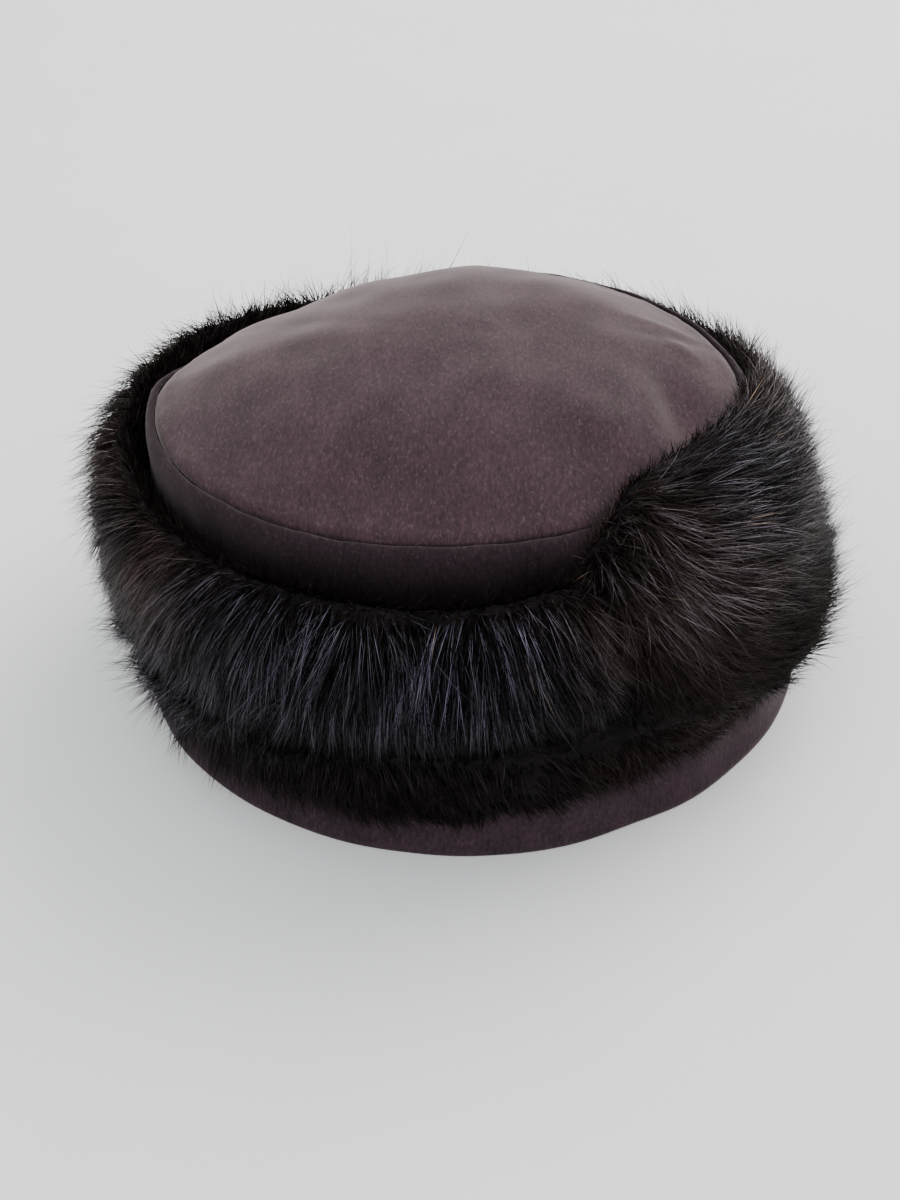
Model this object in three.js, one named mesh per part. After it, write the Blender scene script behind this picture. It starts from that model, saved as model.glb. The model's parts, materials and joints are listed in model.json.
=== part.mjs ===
// A cloth cap with a fur cuff, standing on the hem of its short brim.
// Millimetres, +Z up, origin on the floor under the middle of the hat, and the side with the cuff's join towards -Y.
import * as THREE from "three";
import { mergeVertices } from "three/addons/utils/BufferGeometryUtils.js";

// Head opening and crown
const openingHalfWidth = 98;
const openingHalfDepth = 87;
const seamHalfWidth = 90;
const seamHalfDepth = 80;
const seamHeight = 95;
const crownLean = -9;
const sideWall = 2.2;
const sideLift = 1.5;
const seamLip = 3;
const seamRidge = 0.8;
const tipWall = 2;
const domeRise = 19.5;
const seamGap = 0.35;
const crownSag = 5.5;
const crownPress = 6;

// Brim
const brimHeight = 30;
const brimFlare = 7;
const brimWall = 2.5;
const hemWidth = 3.6;
const hemHeight = 4;

// Fur band at the foot of the crown, and the turned-up cuff above it
const furSeat = 0.6;
const bandTop = 45;
const bandBottom = 20;
const bandThickness = 9.5;
const cuffHeight = 90;
const cuffThickness = 17;
const cuffGap = 5;
const cuffDroop = 13;
const cuffJoinGap = 0.8;
const cuffEndRound = 12;
const flapRollOver = 12;

// Locks of fur: each stands out of the fur at its tip, and lies along the way that the fur flows
const lockWidth = 26;
const lockStand = 3.5;
const lockReach = 5;

// The turns of the cloth's rings and of the fur's, and the two angles where the cuff's pieces meet
const turns = 60;
const furLength = Math.PI * (openingHalfWidth + openingHalfDepth + 2 * cuffThickness);
const furTurns = 2 * Math.round(furLength / lockWidth);
const joinFront = 294;
const joinBack = 92;

// The crown's dents and folds. Places are shares of the seam's half width and half depth, sizes are shares of the
// half width, and depth is a share of the dome's rise, below zero for a ridge.
const crownDents = [
  { name: "hollow under the flap", across: 0.7, along: -0.36, wide: 0.16, long: 0.34, turn: 52, depth: 0.34 },
  { name: "fold beside it", across: 0.5, along: -0.44, wide: 0.1, long: 0.3, turn: 60, depth: -0.16 },
  { name: "back left bump", across: -0.03, along: 0.52, wide: 0.22, long: 0.3, turn: 0, depth: -0.09 },
  { name: "back right bump", across: 0.42, along: 0.5, wide: 0.2, long: 0.25, turn: 0, depth: -0.1 },
  { name: "valley to the back", across: 0.2, along: 0.35, wide: 0.1, long: 0.5, turn: 8, depth: 0.09 },
  { name: "right crease", across: 0.74, along: 0.16, wide: 0.05, long: 0.26, turn: -74, depth: -0.12 },
  { name: "left slump", across: -0.62, along: 0.3, wide: 0.3, long: 0.25, turn: 30, depth: 0.16 },
];

// Where the crown slumps, by angle: how much of crownSag the seam drops, and of crownPress it is pressed in.
const slumpSections = [
  { angle: 0, sag: 0, press: 0 },
  { angle: 80, sag: 0, press: 0 },
  { angle: 112, sag: 0.7, press: 0.6 },
  { angle: 135, sag: 1, press: 1 },
  { angle: 155, sag: 0.75, press: 0.8 },
  { angle: 182, sag: 0, press: 0 },
  { angle: 360, sag: 0, press: 0 },
];

// The cuff round the hat, by angle from +X towards +Y. Top is a share of cuffHeight, gap of cuffGap, thick of
// cuffThickness, and droop of cuffDroop.
const frontCuffSections = [
  { angle: 92, top: 0.93, gap: 0.4, thick: 1, droop: 0.3 },
  { angle: 120, top: 0.965, gap: 0.4, thick: 1, droop: 0.4 },
  { angle: 150, top: 1.02, gap: 0.5, thick: 0.98, droop: 0.6 },
  { angle: 180, top: 1.03, gap: 0.5, thick: 0.92, droop: 0.9 },
  { angle: 210, top: 1, gap: 0.5, thick: 0.95, droop: 1.1 },
  { angle: 240, top: 0.98, gap: 0.5, thick: 1.15, droop: 0.9 },
  { angle: 270, top: 0.97, gap: 0.5, thick: 1.25, droop: 0.45 },
  { angle: 294, top: 1, gap: 0.3, thick: 1.15, droop: 0.3 },
];
const sideFlapSections = [
  { angle: -66, top: 1.08, gap: 0.1, thick: 1.15, droop: 0.3 },
  { angle: -50, top: 1.16, gap: 0, thick: 1.15, droop: 0.6 },
  { angle: -32, top: 1.17, gap: 0, thick: 1.05, droop: 1.3 },
  { angle: -10, top: 1.12, gap: 0, thick: 1, droop: 1.4 },
  { angle: 15, top: 1.05, gap: 0.2, thick: 1, droop: 1 },
  { angle: 48, top: 0.99, gap: 0.4, thick: 0.98, droop: 0.5 },
  { angle: 92, top: 0.93, gap: 0.4, thick: 1, droop: 0.3 },
];
// The brim's flare, as a share of brimFlare: the hem is pressed in at the right.
const brimSections = [
  { angle: 0, flare: 0.25 },
  { angle: 45, flare: 0.5 },
  { angle: 100, flare: 1 },
  { angle: 180, flare: 1.3 },
  { angle: 215, flare: 1.3 },
  { angle: 250, flare: 1.2 },
  { angle: 276, flare: 1 },
  { angle: 298, flare: 0.55 },
  { angle: 328, flare: 0.4 },
  { angle: 345, flare: 0.25 },
  { angle: 360, flare: 0.25 },
];
// The fur band's lower edge, as a share of bandBottom, and its thickness, as a share of bandThickness.
const bandSections = [
  { angle: 0, low: 0.95, thick: 0.95 },
  { angle: 60, low: 0.95, thick: 0.9 },
  { angle: 120, low: 0.9, thick: 0.9 },
  { angle: 180, low: 0.7, thick: 0.75 },
  { angle: 230, low: 0.52, thick: 0.95 },
  { angle: 262, low: 0.55, thick: 1.1 },
  { angle: 282, low: 0.72, thick: 1.1 },
  { angle: 298, low: 0.86, thick: 1.1 },
  { angle: 330, low: 0.92, thick: 1.05 },
  { angle: 360, low: 0.95, thick: 0.95 },
];

// The cuff's outline, as shares: out runs from the side that faces the crown to the outer side, up from the cuff's
// foot to its top, and lean is how much of the gap to the crown has opened.
const cuffInside = [
  { out: 0, up: 0, lean: 0 },
  { out: 0, up: 0.32, lean: 0.15 },
  { out: 0.02, up: 0.64, lean: 0.6 },
  { out: 0.07, up: 0.87, lean: 1 },
  { out: 0.16, up: 0.96, lean: 1 },
];
const cuffOutside = [
  { out: 0.34, up: 1, lean: 1 },
  { out: 0.62, up: 0.97, lean: 1 },
  { out: 0.84, up: 0.82, lean: 1 },
  { out: 0.95, up: 0.56, lean: 0.8 },
  { out: 0.96, up: 0.28, lean: 0.6 },
  { out: 0.9, up: 0.03, lean: 0.4 },
];
const bandOutside = [
  { out: 0.35, up: 1, lean: 0 },
  { out: 0.85, up: 0.86, lean: 0 },
  { out: 1, up: 0.55, lean: 0 },
  { out: 0.75, up: 0.2, lean: 0 },
  { out: 0.2, up: 0, lean: 0 },
];

// One row of locks, root to tip. Down is the share of the row's length, stand of lockStand and reach of lockReach.
// Tip is a point of a lock, and notch the cleft between two.
const lockRow = [
  { tipDown: 0.04, notchDown: 0.04, tipStand: 0.1, notchStand: 0.1, reach: 0 },
  { tipDown: 0.5, notchDown: 0.4, tipStand: 0.75, notchStand: 0.3, reach: 0.35 },
  { tipDown: 0.97, notchDown: 0.74, tipStand: 1, notchStand: 0.2, reach: 1 },
];
const cuffLockRows = 3;
const bandLockRows = 2;

const rad = THREE.MathUtils.degToRad;

// A smooth reading of a table's column at an angle, in degrees.
function read(table, column, angle) {
  const last = table.length - 1;
  const at = THREE.MathUtils.clamp(angle, table[0].angle, table[last].angle);
  const next = Math.max(1, table.findIndex((row) => row.angle >= at));
  const [a, b] = [table[next - 1], table[next]];
  const share = THREE.MathUtils.smoothstep(at, a.angle, b.angle);
  return THREE.MathUtils.lerp(a[column], b[column], share);
}

// The point at an angle, at a height, and a distance out of the crown's outer face.
function hatPoint(angle, height, out) {
  const up = height / seamHeight;
  const halfWidth = THREE.MathUtils.lerp(openingHalfWidth + sideWall, seamHalfWidth, up) + out;
  const halfDepth = THREE.MathUtils.lerp(openingHalfDepth + sideWall, seamHalfDepth, up) + out;
  const turn = rad(angle);
  return new THREE.Vector3(
    halfWidth * Math.cos(turn) + crownLean * up,
    halfDepth * Math.sin(turn),
    height,
  );
}

// The same place on the crown's own cloth, which slumps more and more towards the seam.
function crownPoint(angle, height, out) {
  const share = THREE.MathUtils.smoothstep(height, seamHeight * 0.4, seamHeight);
  const sag = crownSag * read(slumpSections, "sag", angle) * share;
  const press = crownPress * read(slumpSections, "press", angle) * share;
  return hatPoint(angle, height - sag, out - press);
}

// A closed body from rings of points: the rings follow one another, and either close on themselves or get end caps.
function bodyOf(rings, closed) {
  const size = rings[0].length;
  const positions = rings.flat().flatMap((p) => [p.x, p.y, p.z]);
  const faces = [];
  const steps = closed ? rings.length : rings.length - 1;
  for (let i = 0; i < steps; i++) {
    const here = i * size;
    const there = ((i + 1) % rings.length) * size;
    for (let j = 0; j < size; j++) {
      const next = (j + 1) % size;
      faces.push(here + j, there + j, there + next, here + j, there + next, here + next);
    }
  }
  if (!closed) {
    const contour = (first) => {
      const ring = rings[first / size];
      const centre = ring.reduce((sum, p) => sum.add(p), new THREE.Vector3()).divideScalar(size);
      positions.push(centre.x, centre.y, centre.z);
      return positions.length / 3 - 1;
    };
    const end = (rings.length - 1) * size;
    const [startHub, endHub] = [contour(0), contour(end)];
    for (let j = 0; j < size; j++) {
      const next = (j + 1) % size;
      faces.push(startHub, j, next, endHub, end + next, end + j);
    }
  }
  return geometryFrom(positions, faces);
}

function geometryFrom(positions, faces) {
  const geometry = new THREE.BufferGeometry();
  geometry.setAttribute("position", new THREE.Float32BufferAttribute(positions, 3));
  geometry.setIndex(faces);
  return mergeVertices(geometry, 1e-4);
}

// A ring right round the hat, from an outline at each angle, given as [out, height] pairs that run anticlockwise
// when out points right.
function fullRing(outlineAt, pointAt) {
  const rings = [];
  for (let i = 0; i < turns; i++) {
    const angle = (i * 360) / turns;
    rings.push(outlineAt(angle).map(([out, height]) => pointAt(angle, height, out)));
  }
  return bodyOf(rings, true);
}

function makeCrownSide() {
  const top = seamHeight;
  const outline = [
    [0, sideLift],
    [0, top * 0.5],
    [0, top * 0.8],
    [0, top - seamLip],
    [-seamLip * 0.2, top - seamLip * 0.3],
    [-seamLip * 0.6, top + seamRidge * 0.3],
    [-seamLip + seamRidge, top + seamRidge],
    [-seamLip, top + seamRidge * 0.5],
    [-seamLip, top - sideWall],
    [-sideWall, top - sideWall - seamLip],
    [-sideWall, top * 0.8],
    [-sideWall, top * 0.5],
    [-sideWall, sideLift],
  ];
  return fullRing(() => outline, crownPoint);
}

// The dome's height over the seam at a place given in shares of the seam's half sizes.
function domeHeight(across, along) {
  const spread = Math.min(1, Math.hypot(across, along));
  let height = domeRise * (1 - spread ** 2.3);
  const toEdge = 1 - spread ** 6;
  for (const dent of crownDents) {
    const turn = rad(dent.turn);
    const [dx, dy] = [across - dent.across, along - dent.along];
    const side = (dx * Math.cos(turn) + dy * Math.sin(turn)) / dent.wide;
    const length = (dy * Math.cos(turn) - dx * Math.sin(turn)) / dent.long;
    height -= domeRise * dent.depth * toEdge * Math.exp(-(side * side + length * length));
  }
  return height;
}

function makeCrownTip() {
  const steps = [0.2, 0.4, 0.58, 0.74, 0.88, 1];
  const place = (share, turn, drop) => {
    const angle = (THREE.MathUtils.radToDeg(turn) + 360) % 360;
    const rim = crownPoint(angle, seamHeight, -seamLip - seamGap);
    const sag = (seamHeight - rim.z) * share ** 2;
    const height = seamHeight + domeHeight(share * Math.cos(turn), share * Math.sin(turn)) - sag - drop;
    return [crownLean + (rim.x - crownLean) * share, rim.y * share, height];
  };
  const positions = [...place(0, 0, 0), ...place(0, 0, tipWall)];
  const faces = [];
  const index = (layer, step, j) => 2 + (layer * steps.length + step) * turns + (j % turns);
  for (const drop of [0, tipWall])
    for (const share of steps)
      for (let j = 0; j < turns; j++) positions.push(...place(share, (j * 2 * Math.PI) / turns, drop));
  for (let j = 0; j < turns; j++) {
    faces.push(0, index(0, 0, j), index(0, 0, j + 1));
    faces.push(1, index(1, 0, j + 1), index(1, 0, j));
    for (let i = 1; i < steps.length; i++) {
      const top = [index(0, i - 1, j), index(0, i, j), index(0, i, j + 1), index(0, i - 1, j + 1)];
      const under = [index(1, i - 1, j), index(1, i - 1, j + 1), index(1, i, j + 1), index(1, i, j)];
      for (const [a, b, c, d] of [top, under]) faces.push(a, b, c, a, c, d);
    }
    const rim = steps.length - 1;
    const [a, b] = [index(0, rim, j), index(1, rim, j)];
    const [c, d] = [index(1, rim, j + 1), index(0, rim, j + 1)];
    faces.push(a, b, c, a, c, d);
  }
  return geometryFrom(positions, faces);
}

// How far the brim's inner face stands out of the crown's face at a height.
function brimOut(height, angle) {
  const share = 1 - height / brimHeight;
  return seamGap + brimFlare * read(brimSections, "flare", angle) * share ** 1.4;
}

function makeBrim() {
  const [low, middle] = [brimHeight * 0.3, brimHeight * 0.62];
  return fullRing((angle) => {
    const inner = (height) => brimOut(height, angle);
    const hem = inner(0) + brimWall;
    return [
      [hem - hemWidth, 0],
      [hem - hemWidth * 0.1, 0],
      [hem, hemHeight * 0.35],
      [hem - 0.3, hemHeight],
      [inner(low) + brimWall, low],
      [inner(middle) + brimWall, middle],
      [inner(brimHeight) + brimWall, brimHeight],
      [inner(brimHeight), brimHeight],
      [inner(middle), middle],
      [inner(low), low],
      [hem - hemWidth, hemHeight],
    ];
  }, hatPoint);
}

// A smooth line through rows of shares, read at a share of the way along it.
function lineThrough(rows, place) {
  return new THREE.CatmullRomCurve3(
    rows.map((row) => {
      const [out, height] = place(row);
      return new THREE.Vector3(out, height, 0);
    }),
  );
}

// A steady unevenness between locks, from 0.6 to 1.
function uneven(turnIndex, row) {
  return 0.8 + 0.2 * Math.sin(turnIndex * 2.4 + row * 1.7);
}

// The outer side of a piece of fur at an angle, as rows of locks down a line: [out, height, reach] for each point.
function locksDown(line, rows, turnIndex, lie) {
  const points = [];
  for (let row = 0; row < rows; row++) {
    const atTip = (turnIndex + row) % 2 === 0;
    const size = uneven(turnIndex, row);
    for (const level of lockRow) {
      const share = (row + (atTip ? level.tipDown : level.notchDown)) / rows;
      const place = line.getPointAt(share);
      const slope = line.getTangentAt(share);
      const stand = lockStand * size * (atTip ? level.tipStand : level.notchStand);
      const reach = atTip ? lockReach * size * level.reach : 0;
      const down = reach * (1 - Math.abs(lie));
      points.push([
        place.x - slope.y * stand + slope.x * down,
        place.y + slope.x * stand + slope.y * down,
        reach * lie,
      ]);
    }
  }
  return points;
}

// The seat of the fur band: outside the brim up to the brim's top, and on the crown's face above it.
function bandSeat(height, angle) {
  return height > brimHeight ? furSeat : brimOut(height, angle) + brimWall + furSeat;
}

function bandThick(angle) {
  return bandThickness * read(bandSections, "thick", angle);
}

// The furthest that the band's locks reach out.
function bandOut(angle) {
  return bandSeat(brimHeight, angle) + bandThick(angle) + lockStand;
}

function makeBand() {
  const rings = [];
  for (let i = 0; i < furTurns; i++) {
    const angle = (i * 360) / furTurns;
    const low = bandBottom * read(bandSections, "low", angle);
    const shoulder = brimHeight + furSeat;
    const place = ({ out, up }) => {
      const height = THREE.MathUtils.lerp(low, bandTop, up);
      return [bandSeat(Math.min(height, brimHeight), angle) + bandThick(angle) * out, height];
    };
    const outline = [
      [bandSeat(low, angle), low, 0],
      [bandSeat((low + brimHeight) / 2, angle), (low + brimHeight) / 2, 0],
      [bandSeat(brimHeight, angle), shoulder, 0],
      [furSeat, shoulder + 1, 0],
      [furSeat, bandTop, 0],
      ...locksDown(lineThrough(bandOutside, place), bandLockRows, i, 0.3),
    ];
    rings.push(ringAt(angle, outline));
  }
  return bodyOf(rings, true);
}

// A ring section's points, each moved on round the hat by its reach.
function ringAt(angle, outline) {
  const degree = (Math.PI * (openingHalfWidth + openingHalfDepth)) / 360;
  return outline.map(([out, height, reach]) => hatPoint(angle + reach / degree, height, out)).reverse();
}

// The cuff's outline at an angle. The full share thins it towards its ends.
function cuffOutlineAt(table, angle, turnIndex, full, lie, rollOver) {
  const foot = bandTop + furSeat;
  const top = cuffHeight * read(table, "top", angle);
  const gap = cuffGap * read(table, "gap", angle);
  const thick = cuffThickness * read(table, "thick", angle) * full;
  const droop = cuffDroop * read(table, "droop", angle);
  const clear = seamHeight + seamRidge + 2 * furSeat;
  const place = ({ out, up, lean }) => {
    const height = foot + (top - foot) * up;
    const over = rollOver * THREE.MathUtils.smoothstep(height, clear, Math.max(top, clear + 1));
    return [furSeat + gap * lean + thick * out - over * (1 - out), height];
  };
  const hung = (row) => {
    const [out, height] = place(row);
    return [out, height - droop * (1 - row.up) ** 2];
  };
  const inside = bandOut(angle) + furSeat;
  return [
    [inside, foot - droop * 0.75, 0],
    [inside, foot, 0],
    ...cuffInside.map((row) => [...place(row), 0]),
    ...locksDown(lineThrough(cuffOutside, hung), cuffLockRows, turnIndex, lie),
    [Math.max(inside + 1, furSeat + thick * 0.8), foot - droop - 1, 0],
  ];
}

function makeCuff(table, from, to, lie, rollOver) {
  const perDegree = furLength / 360;
  const [first, last] = [from + cuffJoinGap / perDegree / 2, to - cuffJoinGap / perDegree / 2];
  const steps = Math.round((furTurns * (last - first)) / 360);
  const rings = [];
  for (let i = 0; i <= steps; i++) {
    const angle = first + ((last - first) * i) / steps;
    const fromEnd = Math.min(i, steps - i) / steps;
    const toEnd = Math.min(1, (fromEnd * (last - first) * perDegree) / cuffEndRound);
    const full = 0.85 + 0.15 * Math.sqrt(1 - (1 - toEnd) ** 2);
    const outline = cuffOutlineAt(table, angle, i, full, lie, rollOver);
    rings.push(ringAt(angle, outline.map(([out, height, reach]) => [out, height, reach * Math.floor(toEnd)])));
  }
  return bodyOf(rings, false);
}

function meshOf(name, geometry, material) {
  geometry.computeVertexNormals();
  const mesh = new THREE.Mesh(geometry, material);
  mesh.name = name;
  return mesh;
}

const cloth = new THREE.MeshStandardMaterial({ color: 0x5a494c, roughness: 0.95, metalness: 0 });
const fur = new THREE.MeshStandardMaterial({ color: 0x1f191c, roughness: 0.6, metalness: 0 });

const hat = new THREE.Group();
hat.name = "fur_hat";
hat.add(meshOf("crown_tip", makeCrownTip(), cloth));
hat.add(meshOf("crown_side", makeCrownSide(), cloth));
hat.add(meshOf("brim", makeBrim(), cloth));
hat.add(meshOf("fur_band", makeBand(), fur));
hat.add(meshOf("fur_cuff", makeCuff(frontCuffSections, joinBack, joinFront, -0.15, 0), fur));
hat.add(meshOf("fur_flap", makeCuff(sideFlapSections, joinFront - 360, joinBack, 0.75, flapRollOver), fur));

// The middle of the hat's plan goes to the origin.
const middle = new THREE.Box3().setFromObject(hat).getCenter(new THREE.Vector3());
for (const mesh of hat.children) mesh.geometry.translate(-middle.x, -middle.y, 0);

export default hat;
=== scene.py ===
# %% [markdown]
# # A cloth hat with a turned-up fur cuff
# The hat stands by itself on the hem of its short brim. The CAD model gives every piece its size and
# place, in metres, and this lesson dresses it: fine cloth for the crown and the brim, and real hairs on
# every piece of fur. First the imported model is loaded, and its box is kept, so that the ends of the
# hairs can be kept within a little of it.

# %% Load the frame
import json
import math
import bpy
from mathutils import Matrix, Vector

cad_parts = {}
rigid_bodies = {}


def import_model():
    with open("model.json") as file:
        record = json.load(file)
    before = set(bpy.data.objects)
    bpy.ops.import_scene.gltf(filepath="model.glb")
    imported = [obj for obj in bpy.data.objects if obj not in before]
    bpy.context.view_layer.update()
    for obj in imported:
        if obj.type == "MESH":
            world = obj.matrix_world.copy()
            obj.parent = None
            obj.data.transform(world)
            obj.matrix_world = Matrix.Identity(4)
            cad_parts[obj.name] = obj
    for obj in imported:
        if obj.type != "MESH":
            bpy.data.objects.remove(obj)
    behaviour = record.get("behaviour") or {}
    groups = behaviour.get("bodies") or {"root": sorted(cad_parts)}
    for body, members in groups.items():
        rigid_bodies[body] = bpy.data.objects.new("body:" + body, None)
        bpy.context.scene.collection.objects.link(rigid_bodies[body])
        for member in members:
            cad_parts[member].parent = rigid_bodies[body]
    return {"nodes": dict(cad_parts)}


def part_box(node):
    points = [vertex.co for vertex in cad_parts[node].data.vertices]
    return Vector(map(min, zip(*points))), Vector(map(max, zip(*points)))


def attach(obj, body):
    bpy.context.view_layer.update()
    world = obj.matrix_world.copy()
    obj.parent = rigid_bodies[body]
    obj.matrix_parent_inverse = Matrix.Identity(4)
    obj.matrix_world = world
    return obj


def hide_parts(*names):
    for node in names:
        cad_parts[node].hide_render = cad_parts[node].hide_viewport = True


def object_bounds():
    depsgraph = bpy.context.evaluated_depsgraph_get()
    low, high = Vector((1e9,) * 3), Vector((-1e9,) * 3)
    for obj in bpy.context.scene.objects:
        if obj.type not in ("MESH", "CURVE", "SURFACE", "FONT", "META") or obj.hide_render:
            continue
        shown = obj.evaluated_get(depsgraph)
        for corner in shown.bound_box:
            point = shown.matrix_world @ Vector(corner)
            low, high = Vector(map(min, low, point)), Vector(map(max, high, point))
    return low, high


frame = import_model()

from types import SimpleNamespace

import bpy
import numpy as np
from mathutils import Matrix, Vector
from mathutils.kdtree import KDTree

cad_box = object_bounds()
print("CAD box", [[round(v, 4) for v in corner] for corner in cad_box])

# %% [markdown]
# ## The camera
# The photograph looks down on the hat from about 40 degrees. Its distance, turn and lens were worked out
# from two ovals of the hat, the seam and the hem. A camera's axes are its right side, its top and its
# back, so those three arrows, with its place, are all that it needs.

# %% Place the camera
camera_elevation = math.radians(40)
camera_distance = 0.402
camera_target = Vector((-0.0063, -0.0496, 0.057))
camera_roll = -0.0343
camera_turn = math.radians(3.7)
lens_mm = 42
film_mm = 36
nearest_seen = 0.01

back = Vector((0, -math.cos(camera_elevation), math.sin(camera_elevation)))
level = Vector((1, 0, 0))
lifted = back.cross(level)
right = math.cos(camera_roll) * level + math.sin(camera_roll) * lifted
top = back.cross(right)
place = camera_target + camera_distance * back
axes = Matrix((right, top, back)).transposed().to_4x4()
pose = Matrix.Rotation(camera_turn, 4, "Z") @ Matrix.Translation(place) @ axes

camera_data = bpy.data.cameras.new("camera")
camera_data.lens = lens_mm
camera_data.sensor_width = film_mm
camera_data.clip_start = nearest_seen
camera = bpy.data.objects.new("camera", camera_data)
camera.matrix_world = pose
bpy.context.scene.collection.objects.link(camera)
bpy.context.scene.camera = camera
print("camera at", [round(v, 3) for v in camera.matrix_world.translation])

# %% [markdown]
# ## The hat's oval
# The crown is an oval cone: a little narrower at the seam than at the head opening, and leaning to one
# side. Every cloth piece is a ring round that oval, so one function gives the oval's middle and half
# sizes at any height. The same values give each hair its way round the hat.

# %% Work out the oval
opening_half = np.array([0.098, 0.087])
seam_half = np.array([0.090, 0.080])
seam_height = 0.095
side_wall = 0.0022
crown_lean = -0.009
brim_height = 0.030
seam_lip = 0.003
seam_gap = 0.00035
middle_shift = 0.00014

side_low, side_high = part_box("crown_side")
hat_middle = np.array([(side_low[0] + side_high[0]) / 2 + middle_shift, (side_low[1] + side_high[1]) / 2])


def oval_at(height, out):
    """The middle and the half sizes of the crown's outer face at a height, grown by out."""
    up = height / seam_height
    half = (opening_half + side_wall) * (1 - up) + seam_half * up + out
    return hat_middle + np.array([crown_lean * up, 0]), half


def angle_round(points):
    """The angle of each point round the hat, in degrees from 0 to 360, from +X towards +Y."""
    up = points[:, 2] / seam_height
    across = (points[:, 0] - hat_middle[0] - crown_lean * up) / opening_half[0]
    along = (points[:, 1] - hat_middle[1]) / opening_half[1]
    return np.degrees(np.arctan2(along, across)) % 360


print("middle of the hat", hat_middle.round(4))

# %% [markdown]
# ## Helpers for modelling by hand
# Each cloth piece starts as a primitive circle of edges. The ring is extruded again and again, and each
# new ring is scaled and moved to its place, as one does with E, S and G in the viewport.

# %% Extrude a ring along a profile
ring_points = 200
same_place = 1e-6


def deselect_all():
    bpy.ops.object.select_all(action="DESELECT")


def make_active(piece):
    deselect_all()
    bpy.context.view_layer.objects.active = piece
    piece.select_set(True)


def start_ring(name, out, height):
    """A circle of edges on the hat's oval, in edit mode."""
    deselect_all()
    middle, half = oval_at(height, out)
    bpy.ops.mesh.primitive_circle_add(vertices=ring_points, radius=1, fill_type="NOTHING")
    ring = bpy.context.object
    ring.name = name
    ring.data.name = name
    bpy.ops.object.mode_set(mode="EDIT")
    bpy.ops.mesh.select_all(action="SELECT")
    bpy.ops.transform.resize(value=(half[0], half[1], 1))
    bpy.ops.transform.translate(value=(middle[0], middle[1], height))
    return ring


def extrude_along(profile):
    """Extrudes the selected ring through (out, height) pairs. The ring already is at the first pair."""
    for here, there in zip(profile, profile[1:]):
        middle, half = oval_at(here[1], here[0])
        next_middle, next_half = oval_at(there[1], there[0])
        bpy.ops.mesh.extrude_edges_indiv()
        bpy.ops.transform.resize(
            value=(next_half[0] / half[0], next_half[1] / half[1], 1),
            center_override=(middle[0], middle[1], here[1]),
        )
        step = next_middle - middle
        bpy.ops.transform.translate(value=(step[0], step[1], there[1] - here[1]))


def finish_cloth(piece):
    """Merges doubles, points the faces outwards, and shades them smooth."""
    bpy.ops.mesh.select_all(action="SELECT")
    bpy.ops.mesh.remove_doubles(threshold=same_place)
    bpy.ops.mesh.normals_make_consistent(inside=False)
    bpy.ops.object.mode_set(mode="OBJECT")
    bpy.ops.object.shade_smooth()
    return piece


def apply_solidify(piece, thickness):
    """Gives a sheet its wall, inwards from the face that shows."""
    wall = piece.modifiers.new("wall", "SOLIDIFY")
    wall.thickness = thickness
    wall.offset = -1
    wall.use_even_offset = True
    make_active(piece)
    bpy.ops.object.modifier_apply(modifier="wall")


print("rings have", ring_points, "points")

# %% [markdown]
# ## Helpers for soft shapes
# Cloth and fur are never even. After the extruding, a piece's points are read, moved by a few soft terms,
# and set again, as one does with proportional editing. Four small functions make those terms: a slope
# from 0 to 1, a bell round one place, a field of waves, and a table that is read by angle.

# %% Read points and move them softly


def points_of(piece):
    points = np.empty(len(piece.data.vertices) * 3)
    piece.data.vertices.foreach_get("co", points)
    return points.reshape(-1, 3)


def set_points(piece, points):
    piece.data.vertices.foreach_set("co", points.reshape(-1))
    piece.data.update()


def rise_from(values, start, length):
    """0 up to the start, 1 from a length past it, and straight between. A negative length falls instead."""
    return np.clip((values - start) / length, 0, 1)


def ease(share):
    """Softens both ends of a slope from 0 to 1."""
    return share * share * (3 - 2 * share)


def bell(values, middle, width):
    """1 at the middle, and soon 0 on both sides of it."""
    return np.exp(-(((values - middle) / width) ** 2))


def waves(x, y, seed, count, size):
    """A smooth uneven field, as a sum of a few waves of about the given size in random directions."""
    rng = np.random.default_rng(seed)
    total = np.zeros_like(x)
    for _ in range(count):
        turn = rng.uniform(0, 2 * math.pi)
        length = size * rng.uniform(0.6, 1.6)
        phase = rng.uniform(0, 2 * math.pi)
        total += np.sin((x * math.cos(turn) + y * math.sin(turn)) * 2 * math.pi / length + phase)
    return total / math.sqrt(count)


def smooth_reading(table, degrees, column=1):
    """Reads a table by angle, with a smooth step between its rows."""
    degrees = np.clip(degrees, table[0, 0], table[-1, 0])
    after = np.clip(np.searchsorted(table[:, 0], degrees), 1, len(table) - 1)
    low = table[after - 1]
    high = table[after]
    share = ease((degrees - low[:, 0]) / (high[:, 0] - low[:, 0]))
    return low[:, column] + (high[:, column] - low[:, column]) * share


print("halfway up an eased slope:", ease(0.5))

# %% [markdown]
# ## The dome of the crown
# The top is one oval of soft cloth, sewn to the side all round, with folds and dents where it has been
# pressed. A cloth simulation would find folds of its own, so the dome and its dents are worked out
# from a short table instead, which puts each one where the real hat has it. Places and sizes are shares
# of the seam's half sizes, and depths are shares of the dome's rise. A negative depth is a bump.

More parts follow.
